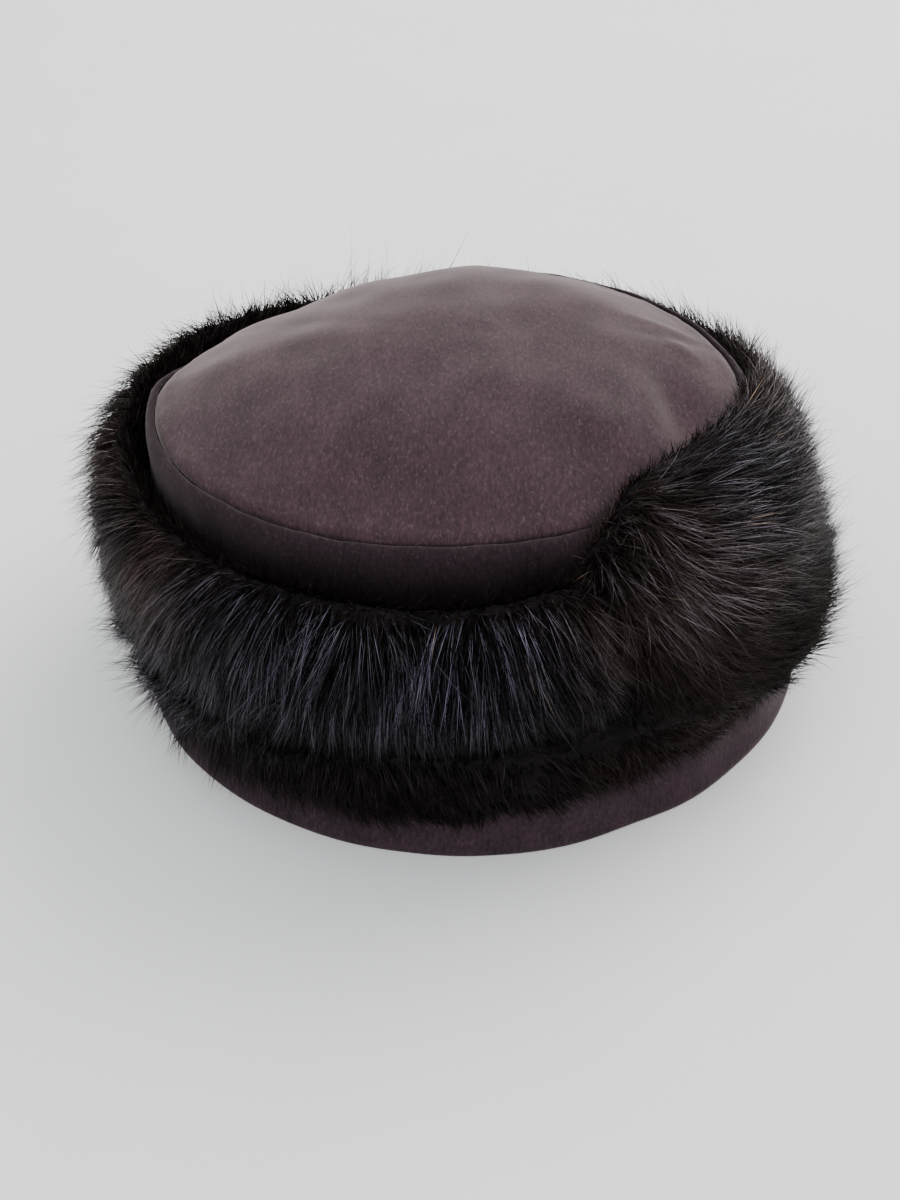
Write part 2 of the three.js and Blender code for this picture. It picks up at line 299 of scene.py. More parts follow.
# %% Work out the dome
dome_rise = 0.0195
dome_fullness = 2.3
dent_fade = 6
crown_dents = [
    # (across, along, wide, long, turn in degrees, depth)
    (0.80, -0.36, 0.10, 0.28, 12, 0.36),
    (0.69, -0.32, 0.045, 0.20, 6, -0.07),
    (0.52, -0.46, 0.12, 0.26, 50, -0.08),
    (-0.03, 0.50, 0.30, 0.34, 0, -0.07),
    (0.42, 0.50, 0.20, 0.25, 0, -0.10),
    (0.20, 0.35, 0.10, 0.50, 8, 0.09),
    (0.80, 0.29, 0.035, 0.16, -95, -0.045),
    (0.82, 0.13, 0.035, 0.10, 40, -0.05),
    (0.80, 0.21, 0.03, 0.14, -75, 0.035),
    (-0.10, -0.40, 0.12, 0.45, -4, 0.03),
    (0.30, -0.20, 0.10, 0.40, 12, 0.03),
]


def dome_height(across, along):
    spread = np.minimum(1, np.hypot(across, along))
    height = dome_rise * (1 - spread**dome_fullness)
    to_edge = 1 - spread**dent_fade
    for dent_across, dent_along, wide, long, turn_degrees, depth in crown_dents:
        turn = math.radians(turn_degrees)
        dx = across - dent_across
        dy = along - dent_along
        side = (dx * math.cos(turn) + dy * math.sin(turn)) / wide
        length = (dy * math.cos(turn) - dx * math.sin(turn)) / long
        height = height - dome_rise * depth * to_edge * np.exp(-(side**2 + length**2))
    return height


print("dome:", len(crown_dents), "dents and bumps, middle at", round(float(dome_height(0.0, 0.0)), 4))

# %% [markdown]
# ## The slump at the back left
# The cloth is soft, so at the back left the crown's edge has sunk a little and stands further in.
# The top and the side share that edge. So one function moves both, by a table of angles, and they
# still meet.

# %% Work out the slump
crown_sag = 0.0055
crown_press = 0.006
slump_by_angle = np.array([
    # angle, sag, press
    [0, 0, 0],
    [80, 0, 0],
    [112, 0.7, 0.6],
    [135, 1, 1],
    [155, 0.75, 0.8],
    [182, 0, 0],
    [360, 0, 0],
])
back_edge_by_angle = np.array([
    # angle, how steeply the cloth rises from the seam
    [0, 0],
    [58, 0],
    [92, 0.8],
    [112, 1],
    [158, 1],
    [180, 0],
    [360, 0],
])


def slump(points, turn, reach, share):
    """Lowers the cloth and presses it in where the crown slumps, at the back left."""
    degrees = np.degrees(turn) % 360
    sag = crown_sag * smooth_reading(slump_by_angle, degrees, 1) * reach
    press = crown_press * smooth_reading(slump_by_angle, degrees, 2) * reach
    slope = (opening_half + side_wall - seam_half) / seam_height
    points[:, 0] += share * ((sag * slope[0] - press) * np.cos(turn) - crown_lean * sag / seam_height)
    points[:, 1] += share * (sag * slope[1] - press) * np.sin(turn)
    points[:, 2] -= sag * share**2


print("the seam sinks", crown_sag, "and goes in", crown_press)

# %% [markdown]
# ## The crown's top
# The oval is a ring at the seam that is extruded inwards, with rings closer together near the seam, where
# the cloth turns down into it. Its points then get the dome, soft bumps, the puckers and the small roll
# that the stitches draw up beside the seam, and the steep rise behind the slump.

# %% Shape the crown's top
tip_wall = 0.0018
tip_rings = 34
ring_crowding = 1.25
inner_ring = 0.985
tip_lift = 0.0006
bump_height, bump_size = 0.00022, 0.030
roll_height, roll_from_seam, roll_width = 0.00040, 0.0024, 0.0017
pucker_height, pucker_size, pucker_reach = 0.00016, 0.007, 0.004
seam_dip, dip_reach = 0.0009, 0.0009
back_edge_lift, lift_start, lift_reach = 0.0022, 0.0025, 0.024

tip_out = -seam_lip - seam_gap
tip_middle, tip_half = oval_at(seam_height, tip_out)
crown_top = start_ring("crown_top", tip_out, seam_height)
shares = 1 - (np.arange(tip_rings) / tip_rings) ** ring_crowding
extrude_along([(tip_out - (1 - share) * tip_half.min() * inner_ring, seam_height) for share in shares])
bpy.ops.mesh.merge(type="CENTER")
finish_cloth(crown_top)

points = points_of(crown_top)
across = (points[:, 0] - tip_middle[0]) / tip_half[0]
along = (points[:, 1] - tip_middle[1]) / tip_half[1]
turn = np.arctan2(along, across)
spread = np.minimum(1, np.hypot(across, along))
to_seam = (1 - spread) * tip_half.min()
at_back = smooth_reading(back_edge_by_angle, np.degrees(turn) % 360)
height = dome_height(across, along)
height += bump_height * waves(points[:, 0], points[:, 1], seed=5, count=9, size=bump_size)
height += roll_height * bell(to_seam, roll_from_seam, roll_width)
puckers = pucker_height * waves(points[:, 0], points[:, 1], seed=6, count=9, size=pucker_size)
height += puckers * bell(to_seam, 0, pucker_reach)
height -= seam_dip * bell(to_seam, 0, dip_reach)
height += back_edge_lift * at_back * (1 - bell(to_seam, 0, lift_start)) * bell(to_seam, 0, lift_reach)
points[:, 2] = seam_height + tip_lift + height
slump(points, turn, 1.0, spread)
set_points(crown_top, points)
apply_solidify(crown_top, tip_wall)
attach(crown_top, "root")
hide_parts("crown_tip")
print("crown top:", len(crown_top.data.polygons), "faces, top at", round(points[:, 2].max(), 4))

# %% [markdown]
# ## The crown's side
# The side is a strip of the same cloth. At its top it rolls over the edge and goes down into the seam,
# which lies a few millimetres in from the edge. Only its upper part shows, between the seam and the fur.
# It could be a lofted wall, but a ring that is extruded up a profile keeps the roll of the edge in the
# same mesh. The puckers of the seam fade out towards the foot.

# %% Shape the crown's side
side_profile = [
    (0, 0.0015), (0, 0.012), (0, 0.024), (0, 0.036), (0, 0.047), (0, 0.056), (0, 0.063), (0, 0.069),
    (0, 0.0745), (0, 0.0795), (0, 0.084), (0, 0.0875), (0.0001, 0.0902), (0, 0.0923), (-0.0003, 0.0938),
    (-0.0009, 0.0951), (-0.0016, 0.0958), (-0.0023, 0.0959), (-0.0028, 0.0955), (-0.00302, 0.0947),
]
strip_wall = 0.0016
crown_radius = 0.09
broad_pucker, fine_pucker = 0.00028, 0.00010
puckers_from, puckers_length = 0.03, 0.03
slump_from, slump_length = 0.4, 0.6
lip_from, lip_length, lip_drop = 0.088, 0.006, 0.0010

crown_side = start_ring("crown_side_cloth", *side_profile[0])
extrude_along(side_profile)
finish_cloth(crown_side)
points = points_of(crown_side)
degrees = angle_round(points)
round_hat = np.radians(degrees) * crown_radius
puckers = waves(round_hat, points[:, 2], seed=11, count=8, size=0.020) * broad_pucker
puckers += waves(round_hat, points[:, 2], seed=12, count=8, size=0.007) * fine_pucker
outward = points[:, :2] - hat_middle
outward /= np.linalg.norm(outward, axis=1)[:, None]
points[:, :2] += outward * (puckers * rise_from(points[:, 2], puckers_from, puckers_length))[:, None]
reach = ease(rise_from(points[:, 2] / seam_height, slump_from, slump_length))
slump(points, np.radians(degrees), reach, 1.0)
at_lip = rise_from(points[:, 2], lip_from, lip_length) * smooth_reading(back_edge_by_angle, degrees)
points[:, 2] -= lip_drop * at_lip
set_points(crown_side, points)
apply_solidify(crown_side, strip_wall)
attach(crown_side, "root")
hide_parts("crown_side")
print("crown side:", len(crown_side.data.polygons), "faces")

# %% [markdown]
# ## The brim
# The brim is a short flared band of cloth. It is steep, so that it is more of a foot than a brim, and its
# edge is turned under into a soft hem that the whole hat stands on. A Solidify modifier could give it its
# thickness, but the hem is fuller than the cloth. So the ring is extruded along a closed outline, and the
# last gap is bridged. Out is counted from the brim's inner face. The flare is read from a table of
# angles, because the brim stands out more at the back and at the left.

# %% Shape the brim
brim_outline = [
    (-0.0009, 0.0007), (-0.0004, 0), (0.0018, 0), (0.0024, 0.0004), (0.0027, 0.0012), (0.00275, 0.0023),
    (0.0026, 0.0035), (0.0025, 0.0047), (0.0025, 0.007), (0.0025, 0.0095), (0.0025, 0.012), (0.0025, 0.0145),
    (0.0025, 0.0175), (0.0025, 0.021), (0.0025, 0.0255), (0.0024, 0.0295), (0.002, 0.030), (0.0004, 0.030),
    (0, 0.0295), (0, 0.0235), (0, 0.016), (0, 0.0095), (0, 0.0052), (-0.0009, 0.0042), (-0.0011, 0.0024),
]
brim_flare = 0.007
flare_curve = 1.4
brim_reach = 0.005
hem_uneven, hem_wave, hem_height = 0.0005, 0.04, 0.006
brim_radius = 0.1
flare_by_angle = np.array([
    # angle, flare
    [0, 0.2],
    [45, 0.5],
    [100, 1],
    [180, 1.3],
    [215, 1.3],
    [250, 1.2],
    [276, 1],
    [298, 0.55],
    [328, 0.35],
    [345, 0.2],
    [360, 0.2],
])

brim = start_ring("brim_cloth", *brim_outline[0])
extrude_along(brim_outline)
bpy.ops.object.mode_set(mode="OBJECT")
points = points_of(brim)
row_of_point = np.arange(len(points)) // ring_points
heights = np.array([height for _, height in brim_outline])[row_of_point]
degrees = angle_round(points)
flare = brim_flare * smooth_reading(flare_by_angle, degrees) * (1 - heights / brim_height) ** flare_curve
uneven = hem_uneven * waves(np.radians(degrees) * brim_radius, heights, seed=21, count=7, size=hem_wave)
grow = seam_gap + flare + uneven * np.clip(heights / hem_height, 0.4, 1)
turn = np.arctan2(
    (points[:, 1] - hat_middle[1]) / (opening_half[1] + brim_reach),
    (points[:, 0] - hat_middle[0] - crown_lean * heights / seam_height) / (opening_half[0] + brim_reach),
)
points[:, 0] += np.cos(turn) * grow
points[:, 1] += np.sin(turn) * grow
set_points(brim, points)
bpy.ops.object.mode_set(mode="EDIT")
bpy.ops.mesh.select_all(action="DESELECT")
bpy.ops.mesh.select_mode(type="EDGE")
bpy.ops.mesh.select_non_manifold()
bpy.ops.mesh.bridge_edge_loops()
finish_cloth(brim)
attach(brim, "root")
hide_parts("brim")
print("brim:", len(brim.data.polygons), "faces")

# %% [markdown]
# ## Keep the fur off the crown
# The fur stands close to the crown, and at the right it leans over the seam. Nothing of it may go into
# the cloth, so the backing that leans, and the bend and the end of every hair, pass through one function.
# A point beside the crown goes out to its side, and a point under the top goes up to it.

# %% Keep points clear of the crown
side_clearance = 0.0008
top_clearance = 0.0012
seam_clearance = 0.001
top_starts = 0.955


def outward_of(points):
    """The level direction away from the hat's middle at each point, with the oval's own turn."""
    up = points[:, 2] / seam_height
    across = (points[:, 0] - hat_middle[0] - crown_lean * up) / opening_half[0] ** 2
    along = (points[:, 1] - hat_middle[1]) / opening_half[1] ** 2
    away = np.stack([across, along, np.zeros(len(points))], axis=1)
    return away / np.linalg.norm(away, axis=1)[:, None]


def keep_clear(points):
    """Moves points that would be inside the crown out to its side or up to its top."""
    up = points[:, 2] / seam_height
    middle = hat_middle[None] + np.stack([crown_lean * up, 0 * up], axis=1)
    half = (opening_half + side_wall)[None] * (1 - up[:, None]) + seam_half[None] * up[:, None]
    half = half + side_clearance
    across, along = ((points[:, :2] - middle) / half).T
    spread = np.hypot(across, along)
    surface = seam_height + top_clearance + dome_height(across, along)
    beside = (spread < 1) & (spread > top_starts) & (points[:, 2] < seam_height + seam_clearance)
    under = (spread <= top_starts) & (points[:, 2] < surface)
    out = np.where(beside, 1 / np.maximum(spread, 1e-6), 1)[:, None]
    points[:, :2] = middle + (points[:, :2] - middle) * out
    points[:, 2] = np.where(under, surface, points[:, 2])
    return points


seam_point = np.array([[hat_middle[0], hat_middle[1], seam_height]])
print("a point under the middle of the top goes up to", round(keep_clear(seam_point)[0, 2], 4))

# %% [markdown]
# ## The lean of the flap
# At the right the fur is turned up higher, and its top leans in over the seam. The backing is leaned once
# it has its even faces, by a table of angles, and it is softened once more after that.

# %% Lean the flap over the crown
lean_starts, lean_length = 0.084, 0.012
lean_by_angle = np.array([
    # angle, how far the flap leans in over the crown
    [-70, 0.4],
    [-48, 1],
    [8, 1],
    [34, 0.3],
    [60, 0],
    [100, 0],
])


def signed_angle(degrees):
    """Counts the angles from -180 to 180, so that a table can go on past 0."""
    return np.where(degrees > 180, degrees - 360, degrees)


def lean_over(points, reach):
    share = smooth_reading(lean_by_angle, signed_angle(angle_round(points)))
    share = share * rise_from(points[:, 2], lean_starts, lean_length)
    return keep_clear(points - outward_of(points) * (reach * share)[:, None])


print("the lean is read at", len(lean_by_angle), "angles")

# %% [markdown]
# ## The backing of the fur
# Under the hairs lies a soft backing: the skin with its dense, short undercoat. It could be sculpted, but
# the CAD model's fur already has the right bulk. So a copy of each of its nodes is merged, swollen a
# little so that its thin lip holds together, remeshed to even faces and smoothed. It is then drawn in by
# the swelling and by the depth that the hairs will fill.

# %% Prepare the steps of the backing
voxel = 0.0033
pelt_swell = 0.0016
least_draw, facing_draw, top_draw = 0.2, 0.9, 0.3


def normals_of(piece):
    normals = np.empty(len(piece.data.vertices) * 3)
    piece.data.vertex_normals.foreach_get("vector", normals)
    return normals.reshape(-1, 3)


def copy_node(name, node):
    """A merged copy of a CAD node, with its place in its mesh."""
    source = frame["nodes"][node]
    pelt = source.copy()
    pelt.data = source.data.copy()
    pelt.name = name
    pelt.data.name = name
    bpy.context.scene.collection.objects.link(pelt)
    placed = source.matrix_world.copy()
    pelt.parent = None
    pelt.matrix_world = Matrix.Identity(4)
    pelt.data.transform(placed)
    pelt.data.materials.clear()
    make_active(pelt)
    pelt.hide_set(False)
    bpy.ops.object.mode_set(mode="EDIT")
    bpy.ops.mesh.select_all(action="SELECT")
    bpy.ops.mesh.remove_doubles(threshold=same_place)
    bpy.ops.object.mode_set(mode="OBJECT")
    return pelt


def soften(pelt, name, factor, times):
    smooth = pelt.modifiers.new(name, "SMOOTH")
    smooth.factor = factor
    smooth.iterations = times
    bpy.ops.object.modifier_apply(modifier=name)


def even_out(pelt):
    """Swells the copy and gives it even, soft faces."""
    swell = pelt.modifiers.new("swell", "DISPLACE")
    swell.strength = pelt_swell
    swell.mid_level = 0
    remesh = pelt.modifiers.new("even faces", "REMESH")
    remesh.mode = "VOXEL"
    remesh.voxel_size = voxel
    bpy.ops.object.modifier_apply(modifier="swell")
    bpy.ops.object.modifier_apply(modifier="even faces")
    soften(pelt, "soften", factor=0.6, times=8)


def keep_main_body(pelt):
    """Deletes loose crumbs, so that only the body with the highest point stays."""
    points = points_of(pelt)
    chosen = np.zeros(len(points), dtype=bool)
    chosen[np.argmax(points[:, 2])] = True
    bpy.ops.object.mode_set(mode="EDIT")
    bpy.ops.mesh.select_mode(type="VERT")
    bpy.ops.mesh.select_all(action="DESELECT")
    bpy.ops.object.mode_set(mode="OBJECT")
    pelt.data.vertices.foreach_set("select", chosen)
    bpy.ops.object.mode_set(mode="EDIT")
    bpy.ops.mesh.select_linked()
    bpy.ops.mesh.select_all(action="INVERT")
    bpy.ops.mesh.delete(type="VERT")
    bpy.ops.object.mode_set(mode="OBJECT")


def draw_in(pelt, depth, thin_between, underside):
    """The pelt's points, drawn in on the outer side by depth and on the underside by its own measure."""
    points = points_of(pelt)
    normals = normals_of(pelt)
    facing = (normals * outward_of(points)).sum(axis=1)
    inwards = depth * np.clip(least_draw + facing_draw * facing, 0, 1)
    inwards += depth * top_draw * np.clip(normals[:, 2], 0, 1) * np.clip(1 - facing, 0, 1)
    low, high = thin_between
    inwards *= rise_from(points[:, 2], low, high - low)
    inwards += pelt_swell + underside * np.clip(-normals[:, 2], 0, 1)
    return points - normals * inwards[:, None]


print("backing: faces of", voxel, "swollen by", pelt_swell)

# %% [markdown]
# ## The three pelts
# The band, the cuff and the flap each get a pelt by the same steps. Low down the flap is thin, so it is
# drawn in less and less from 56 to 40 mm, and its top leans in. Each pelt takes the place of its CAD node.

# %% Make the backing from the frame's fur


def make_pelt(name, node, depth, thin_between, underside, lean=0.0):
    pelt = copy_node(name, node)
    even_out(pelt)
    keep_main_body(pelt)
    points = draw_in(pelt, depth, thin_between, underside)
    if lean:
        points = lean_over(points, lean)
    set_points(pelt, points)
    soften(pelt, "soften again", factor=0.5, times=4)
    bpy.ops.object.shade_smooth()
    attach(pelt, "root")
    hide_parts(node)
    print(name, len(pelt.data.polygons), "faces")
    return pelt


cuff_depth = 0.0045
band_depth = 0.0035
whole_height = (0.0, 0.001)
flap_foot = (0.040, 0.056)
band_pelt = make_pelt("fur_band_undercoat", "fur_band", band_depth, whole_height, underside=0.0)
cuff_pelt = make_pelt("fur_cuff_undercoat", "fur_cuff", cuff_depth, whole_height, underside=0.0035)
flap_pelt = make_pelt("fur_flap_undercoat", "fur_flap", cuff_depth, flap_foot, underside=0.0, lean=0.0055)

# %% [markdown]
# ## One hair
# A hair is a slim cone with three sides. Two cuts across it let it bend. Hair curves would be lighter,
# but the finished hat is kept as meshes. So one hair is modelled, one unit long, and its points are then
# read, so that each hair on the hat can be a bent copy of it. The short hairs have one cut only, to save
# faces.

# %% Model one guard hair and one short hair


def model_hair(name, cuts):
    deselect_all()
    bpy.ops.mesh.primitive_cone_add(vertices=3, radius1=1, radius2=0, depth=1, location=(0, 0, 0.5))
    hair = bpy.context.object
    hair.name = name
    bpy.ops.object.transform_apply(location=True, rotation=False, scale=False)
    bpy.ops.object.mode_set(mode="EDIT")
    for height in cuts:
        bpy.ops.mesh.select_all(action="SELECT")
        bpy.ops.mesh.bisect(plane_co=(0, 0, height), plane_no=(0, 0, 1))
    bpy.ops.mesh.select_all(action="SELECT")
    bpy.ops.mesh.normals_make_consistent(inside=False)
    bpy.ops.mesh.quads_convert_to_tris()
    bpy.ops.object.mode_set(mode="OBJECT")
    points = points_of(hair)
    faces = np.array([face.vertices[:] for face in hair.data.polygons])
    bpy.data.objects.remove(hair)
    print(name, len(points), "points", len(faces), "faces")
    return points, faces


guard_hair = model_hair("guard_hair", [0.3, 0.66])
short_hair = model_hair("short_hair", [0.45])

# %% [markdown]
# ## Which way the fur lies
# Fur has a direction. At the front the hairs hang down from the cuff's ridge, at the left they stand out
# and down, on the flap they sweep round towards the back, and on the band they point down and to the
# right. A hair system would be combed by hand. Here each table gives, by angle round the hat, how much
# the hairs go round it, how much down along the fur, and how far they stand up.

# %% Write down the flow of the fur
cuff_flow = np.array([
    # angle, round, down, lift
    [92, -0.3, 0.8, 0.50],
    [140, -0.2, 0.8, 0.55],
    [180, -0.1, 0.8, 0.58],
    [212, -0.40, 0.85, 0.50],
    [240, -0.18, 1.0, 0.38],
    [270, 0.06, 1.0, 0.34],
    [284, 0.2, 0.95, 0.36],
    [296, 0.45, 0.8, 0.42],
])
flap_flow = np.array([
    # angle, round, down, lift
    [-68, -0.35, 0.8, 0.55],
    [-59, 0.35, 0.7, 0.50],
    [-46, 0.95, 0.3, 0.42],
    [-15, 1.0, 0.12, 0.44],
    [30, 0.8, 0.3, 0.52],
    [94, 0.3, 0.7, 0.52],
])
band_flow = np.array([
    # angle, round, down, lift
    [0, 0.6, 0.8, 0.40],
    [90, 0.4, 0.9, 0.40],
    [180, -0.1, 1.0, 0.40],
    [230, 0.0, 1.0, 0.34],
    [270, 0.4, 0.9, 0.32],
    [320, 0.6, 0.75, 0.34],
    [360, 0.6, 0.8, 0.40],
])
print("flow rows:", len(cuff_flow), "cuff,", len(flap_flow), "flap,", len(band_flow), "band")

# %% [markdown]
# ## How long the hairs are, and how blue
# The hairs are short along the cuff's lower edge at the front, longer and more upright on the ridge at
# the back, and long on the band at the left. The front gets a painted blue gleam, as from the window's
# light, while the left, the back and the flap stay brown. These tables are kept apart from the code, so
# that a look at the photograph can be followed by a change of one row.

# %% Write down the lengths and the gleam
band_length_by_angle = np.array([
    # angle, length as a share of the usual length
    [0, 1],
    [150, 1],
    [185, 1.7],
    [205, 1.85],
    [226, 1.85],
    [246, 1.35],
    [268, 1],
    [360, 1],
])
edge_length_by_angle = np.array([
    # angle, length of the hairs at the lower edge as a share of the others'
    [0, 1],
    [25, 0.9],
    [60, 0.55],
    [92, 0.5],
    [170, 0.8],
    [205, 1],
    [228, 1],
    [244, 0.6],
    [258, 0.16],
    [300, 0.10],
    [315, 0.35],
    [332, 0.9],
    [352, 1],
    [360, 1],
])
back_height_by_angle = np.array([
    # angle, how much longer and more upright the hairs are
    [0, 0.1],
    [45, 0.3],
    [75, 1],
    [110, 1],
    [150, 0.3],
    [200, 0],
    [360, 0.1],
])
painted_blue_gleam_by_angle = np.array([
    # angle, how much blue gleam is painted
    [0, 0.1],
    [165, 0.1],
    [205, 0.5],
    [243, 0.9],
    [274, 1],
    [298, 0.15],
    [360, 0.1],
])
print("longest on the band:", band_length_by_angle[:, 1].max(), "times the usual length")

# %% [markdown]
# ## Roots
# Hairs are scattered over the faces of a pelt, each face by its area and by how much is wanted there.
# Everything that a root's place decides is then worked out once: the way that the fur lies, whether the
# root is on the outer side or on the ridge, how far it is above the lower edge, and how near the join of
# the cuff and the flap.

# %% Scatter and read the roots
edge_zone = 0.024
ridge_at, ridge_width = 0.3, 0.33
join_angle, join_width = 298, 7
swirl_share, swirl_size = 0.26, 0.030


def unit(vectors):
    return vectors / np.maximum(np.linalg.norm(vectors, axis=1), 1e-9)[:, None]


def scatter_roots(pelt, count, rng, wanted):
    """Random places on the faces of a pelt where wanted says so, with their normals."""
    mesh = pelt.data
    mesh.calc_loop_triangles()
    corners = np.empty(len(mesh.loop_triangles) * 3, dtype=np.int64)
    mesh.loop_triangles.foreach_get("vertices", corners)
    corners = corners.reshape(-1, 3)
    points = points_of(pelt)
    normals = normals_of(pelt)
    a, b, c = (points[corners[:, k]] for k in range(3))
    area = np.linalg.norm(np.cross(b - a, c - a), axis=1) / 2
    middle = (a + b + c) / 3
    face_normal = (normals[corners[:, 0]] + normals[corners[:, 1]] + normals[corners[:, 2]]) / 3
    area = area * wanted(middle, face_normal)
    chosen = rng.choice(len(area), size=count, p=area / area.sum())
    u = np.sqrt(rng.random(count))[:, None]
    v = rng.random(count)[:, None]
    roots = a[chosen] * (1 - u) + b[chosen] * u * (1 - v) + c[chosen] * u * v
    normal = face_normal[chosen]
    return roots, normal / np.linalg.norm(normal, axis=1)[:, None]


def above_edge(pelt, roots):
    """How far each root is above the pelt's lower edge."""
    points = points_of(pelt)
    degrees = angle_round(points)
    angles = []
    heights = []
    for angle in range(0, 360, 6):
        near = np.abs((degrees - angle + 180) % 360 - 180) < 7
        if near.any():
            angles.append(angle)
            heights.append(points[near, 2].min())
    edge = np.interp(angle_round(roots), angles, heights, period=360)
    return roots[:, 2] - edge


def facing_out(places, normals):
    return (normals * outward_of(places)).sum(axis=1)


def outer_share(roots, normals):
    """0 on the side that faces the crown, 1 on the outer side, and about a third along the ridge."""
    return ease(rise_from(facing_out(roots, normals), -0.35, 1.05))


def lay_of(roots, normals, outer, flow, signed):
    """The way that a hair lies at each root, along the surface, and its lift."""
    degrees = angle_round(roots)
    if signed:
        degrees = signed_angle(degrees)
    away = outward_of(roots)
    round_hat = np.stack([-away[:, 1], away[:, 0], np.zeros(len(roots))], axis=1)
    round_hat = unit(round_hat - normals * (round_hat * normals).sum(axis=1)[:, None])
    down = np.cross(round_hat, normals)
    upwards = roots[:, 2] + roots[:, 1] * 0.4
    swirl = waves(np.radians(degrees) * brim_radius, upwards, seed=31, count=8, size=swirl_size)
    go_round = smooth_reading(flow, degrees, 1) + swirl_share * swirl
    go_down = smooth_reading(flow, degrees, 2) * (0.3 + 0.7 * outer)
    lay = unit(round_hat * go_round[:, None] + down * go_down[:, None])
    return lay, smooth_reading(flow, degrees, 3)


def read_roots(pelt, count, rng, wanted, flow, signed):
    """Scatters the roots and works out all that their place decides."""
    places, normals = scatter_roots(pelt, count, rng, wanted)
    outer = outer_share(places, normals)
    lay, lift = lay_of(places, normals, outer, flow, signed)
    ridge = bell(outer, ridge_at, ridge_width)
    degrees = angle_round(places)
    above = above_edge(pelt, places)
    return SimpleNamespace(
        count=count, places=places, normals=normals, outer=outer, lay=lay, lift=lift, ridge=ridge,
        degrees=degrees, above=above,
        up=rise_from(above, 0, edge_zone),
        at_edge=smooth_reading(edge_length_by_angle, degrees),
        back_height=smooth_reading(back_height_by_angle, degrees) * ridge,
        at_join=bell(degrees, join_angle, join_width),
    )


print("the cuff and the flap meet at", join_angle, "degrees")

# %% [markdown]
# ## From root to tip
# Each hair is a curve with three points: its root, a control point that says which way it leaves the
# skin, and its end. Neighbours are drawn towards one leading hair, which gives the locks of real fur. On
# the ridge the hairs are shorter, looser and more upright.

# %% Work out the curve of each hair
usual_lengths = (0.65, 1.2)
ridge_shorter = 0.34
lift_range, lift_limits = (0.5, 1.5), (0.08, 1.2)
first_rise, last_rise = 1.25, 0.55
ridge_rise, join_rise, back_rise = 1.1, 0.5, 0.2
tuck_in = 0.5
pull_range, ridge_freer = (0.4, 1.25), 0.6
end_pull, bend_pull = 0.8, 0.25
highest_hair = 0.1262
farthest_hair = np.array(cad_box[1][:2]) + 0.0148


def lengths_of(fur, rng, length, taller, longer):
    size = length * rng.uniform(*usual_lengths, fur.count)
    size = size * (1 - ridge_shorter * fur.ridge) * (0.62 + 0.38 * fur.outer)
    if longer is not None:
        return size * smooth_reading(longer, fur.degrees)
    size *= fur.at_edge + (1 - fur.at_edge) * fur.up
    return size * (1 + taller * fur.back_height)


def directions_of(fur, rng, spread, fluff, droop, taller):
    """The way that each hair leaves the skin, and the way that its end points."""
    loose = (spread + fluff * fur.ridge) * (1 + fur.at_join)
    jitter = rng.normal(0, 1, (fur.count, 3)) * loose[:, None]
    rise = np.clip(fur.lift * rng.uniform(*lift_range, fur.count), *lift_limits)
    rise = rise + ridge_rise * fluff * fur.ridge + join_rise * fur.at_join
    first = unit(fur.lay + fur.normals * (rise * first_rise)[:, None] + jitter * 0.5)
    last = fur.lay + fur.normals * (rise * last_rise)[:, None] + jitter
    last = last - np.array([0, 0, droop]) * (1 - fur.ridge)[:, None]
    last[:, 2] += (back_rise + taller) * fur.back_height
    tuck = tuck_in * (1 - fur.up) * (1 - fur.at_edge) * fur.outer
    return first, unit(last - outward_of(fur.places) * tuck[:, None])


def lock_of(fur, rng, clump_size):
    """The number of the lock that each hair belongs to, and the hair that leads it."""
    lock_count = max(2, fur.count // clump_size)
    middles = fur.places[rng.choice(fur.count, size=lock_count, replace=False)]
    tree = KDTree(lock_count)
    for number, middle in enumerate(middles):
        tree.insert(middle, number)
    tree.balance()
    lock = np.array([tree.find(place)[1] for place in fur.places])
    order = np.argsort(lock, kind="stable")
    starts = np.searchsorted(lock[order], np.arange(lock_count))
    return lock_count, lock, order[np.minimum(starts, fur.count - 1)][lock]


def gather(fur, rng, clump, leader, size, first, last):
    """The control point and the end of each hair, drawn towards its lock's leading hair."""
    bent = size[:, None] * (first * 0.5)
    tip = bent + size[:, None] * (last * 0.5)
    pull = clump * (rng.uniform(*pull_range, fur.count) * (1 - ridge_freer * fur.ridge))[:, None]
    gathered = fur.places[leader] + tip[leader] * (size / size[leader])[:, None]
    end = fur.places + tip
    end = end + (gathered - end) * pull * end_pull
    end[:, :2] = np.clip(end[:, :2], -farthest_hair, farthest_hair)
    control = fur.places + bent + (gathered - fur.places - tip) * pull * bend_pull
    return keep_clear(control), keep_clear(end)


print("no hair goes past", farthest_hair.round(4), "or above", highest_hair)

# %% [markdown]
# ## Copies of one hair
# The modelled hair is bent along each curve. It is a little fuller in its middle than a cone, as guard
# hairs are, and it stays over the table and under the highest hair. All the hairs of a piece are one
# mesh, because thousands of objects would be slow.

# %% Bend a copy of the hair along each curve
lowest_hair = 0.0003
flat_share = 0.0002
fuller_middle = 1.1
girth_range = (0.75, 1.25)


